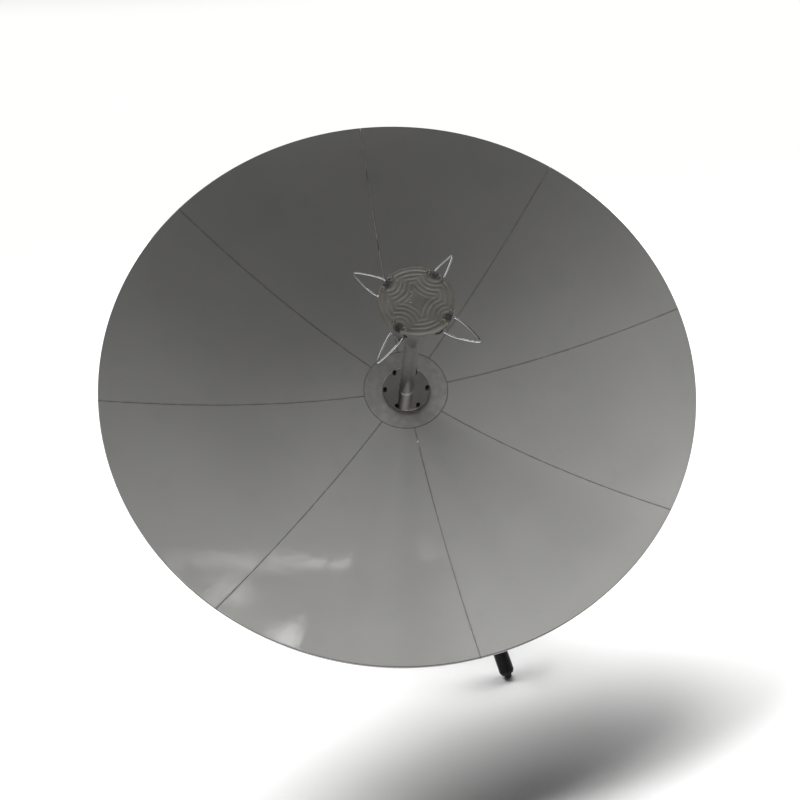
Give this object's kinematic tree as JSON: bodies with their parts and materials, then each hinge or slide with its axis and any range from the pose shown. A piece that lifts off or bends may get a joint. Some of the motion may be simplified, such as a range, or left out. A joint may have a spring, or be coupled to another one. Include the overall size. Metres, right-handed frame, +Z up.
{
  "type": "sectional parabolic reflector antenna",
  "caption": "front-fed parabolic reflector antenna with moulded petals, loop feed on a column, geared elevation mount and folding telescopic tripod",
  "frame": {"origin": "on the ground, in the middle of the whole antenna's footprint at rest", "axes": "+Z up; the reflector faces -Y, raised 38 degrees above the horizon at rest; +X is to the right seen from the front"},
  "size_m": [1.8044, 1.484, 1.8626],
  "materials": {
    "gelcoat": "high gloss sprayed gelcoat over moulded composite",
    "aluminium": "satin anodised",
    "machined": "bright machined",
    "polished": "polished",
    "chrome": "polished wire",
    "steel": "ground",
    "bronze": "plain bearing bronze",
    "casting": "black powder coated casting",
    "painted": "grey textured paint",
    "anodised": "black anodised tube",
    "black": "moulded black",
    "rubber": "matt"
  },
  "bodies": {
    "root": {"tripod_head": "casting", "azimuth_bearing": "steel", "leg_hinge_pin_1": "steel", "leg_hinge_pin_2": "steel", "leg_hinge_pin_3": "steel"},
    "azimuth": {"turntable": "painted", "yoke_left": "painted", "yoke_right": "painted", "elevation_shaft": "steel"},
    "elevation": {"elevation_bracket": "painted", "elevation_sector": "steel", "elevation_bush_left": "bronze", "elevation_bush_right": "bronze", "hub_casting": "casting", "centre_plate": "gelcoat", "petal_1": "gelcoat", "petal_2": "gelcoat", "petal_3": "gelcoat", "petal_4": "gelcoat", "petal_5": "gelcoat", "petal_6": "gelcoat", "petal_7": "gelcoat", "petal_8": "gelcoat", "feed_flange": "polished", "flange_screw_1": "black", "flange_screw_2": "black", "flange_screw_3": "black", "flange_screw_4": "black", "flange_screw_5": "black", "flange_screw_6": "black", "feed_column": "aluminium", "feed_neck": "aluminium", "feed_disc": "machined", "loop_clamp_1": "black", "loop_clamp_2": "black", "loop_clamp_3": "black", "loop_clamp_4": "black", "feed_loop_1": "chrome", "feed_loop_2": "chrome", "feed_loop_3": "chrome", "feed_loop_4": "chrome", "feed_harness": "black", "rf_connector": "steel"},
    "crank": {"elevation_pinion": "steel", "crank_arm": "painted"},
    "crank_knob": {"crank_knob": "black"},
    "brake": {"brake_lever": "black"},
    "lock_knob": {"azimuth_lock_knob": "black"},
    "leg_1": {"leg_tube_1": "anodised"},
    "extension_1": {"leg_extension_1": "anodised", "leg_foot_1": "rubber"},
    "clamp_1": {"leg_clamp_lever_1": "black"},
    "leg_2": {"leg_tube_2": "anodised"},
    "extension_2": {"leg_extension_2": "anodised", "leg_foot_2": "rubber"},
    "clamp_2": {"leg_clamp_lever_2": "black"},
    "leg_3": {"leg_tube_3": "anodised"},
    "extension_3": {"leg_extension_3": "anodised", "leg_foot_3": "rubber"},
    "clamp_3": {"leg_clamp_lever_3": "black"}
  },
  "joints": [
    {"name": "azimuth_turn", "type": "hinge", "parent": "root", "child": "azimuth", "pos_m": [0, 0.308, 0.576], "axis": [0, 0, 1], "range_deg": [-170, 170]},
    {"name": "azimuth_lock_turn", "type": "hinge", "parent": "root", "child": "lock_knob", "pos_m": [0.17737, 0.27736, 0.515], "axis": [0.9854, -0.1702, 0], "range_deg": [0, 350]},
    {"name": "elevation_tilt", "type": "hinge", "parent": "azimuth", "child": "elevation", "pos_m": [0, 0.308, 0.766], "axis": [-1, 0, 0], "range_deg": [-23, 52]},
    {"name": "crank_turn", "type": "hinge", "parent": "azimuth", "child": "crank", "pos_m": [0.12, 0.48527, 0.73474], "axis": [-1, 0, 0], "range_deg": [-208, 92]},
    {"name": "crank_knob_spin", "type": "hinge", "parent": "crank", "child": "crank_knob", "pos_m": [0.147, 0.48527, 0.83474], "axis": [1, 0, 0], "continuous": true},
    {"name": "brake_turn", "type": "hinge", "parent": "azimuth", "child": "brake", "pos_m": [-0.114, 0.308, 0.766], "axis": [1, 0, 0], "range_deg": [0, 60]},
    {"name": "leg_fold_1", "type": "hinge", "parent": "root", "child": "leg_1", "pos_m": [0.10221, 0.03021, 0.515], "axis": [0.9385, 0.3453, 0], "range_deg": [0, 25]},
    {"name": "leg_extend_1", "type": "slide", "parent": "leg_1", "child": "extension_1", "axis": [0.1507, -0.4096, -0.8997], "range_m": [-0.15, 0.08]},
    {"name": "leg_clamp_1", "type": "hinge", "parent": "leg_1", "child": "clamp_1", "pos_m": [0.16125, -0.16503, 0.1892], "axis": [0.1507, -0.4096, -0.8997], "range_deg": [0, 90]},
    {"name": "leg_fold_2", "type": "hinge", "parent": "root", "child": "leg_2", "pos_m": [0.18947, 0.53541, 0.515], "axis": [-0.7683, 0.6401, 0], "range_deg": [0, 25]},
    {"name": "leg_extend_2", "type": "slide", "parent": "leg_2", "child": "extension_2", "axis": [0.2794, 0.3353, -0.8997], "range_m": [-0.15, 0.08]},
    {"name": "leg_clamp_2", "type": "hinge", "parent": "leg_2", "child": "clamp_2", "pos_m": [0.32903, 0.68416, 0.1892], "axis": [0.2794, 0.3353, -0.8997], "range_deg": [0, 90]},
    {"name": "leg_fold_3", "type": "hinge", "parent": "root", "child": "leg_3", "pos_m": [-0.29168, 0.35838, 0.515], "axis": [-0.1702, -0.9854, 0], "range_deg": [0, 25]},
    {"name": "leg_extend_3", "type": "slide", "parent": "leg_3", "child": "extension_3", "axis": [-0.4301, 0.0743, -0.8997], "range_m": [-0.15, 0.08]},
    {"name": "leg_clamp_3", "type": "hinge", "parent": "leg_3", "child": "clamp_3", "pos_m": [-0.49028, 0.40486, 0.1892], "axis": [-0.4301, 0.0743, -0.8997], "range_deg": [0, 90]}
  ],
  "couplings": [
    {"joint": "crank_turn", "follows": "elevation_tilt", "ratio": -4}
  ]
}
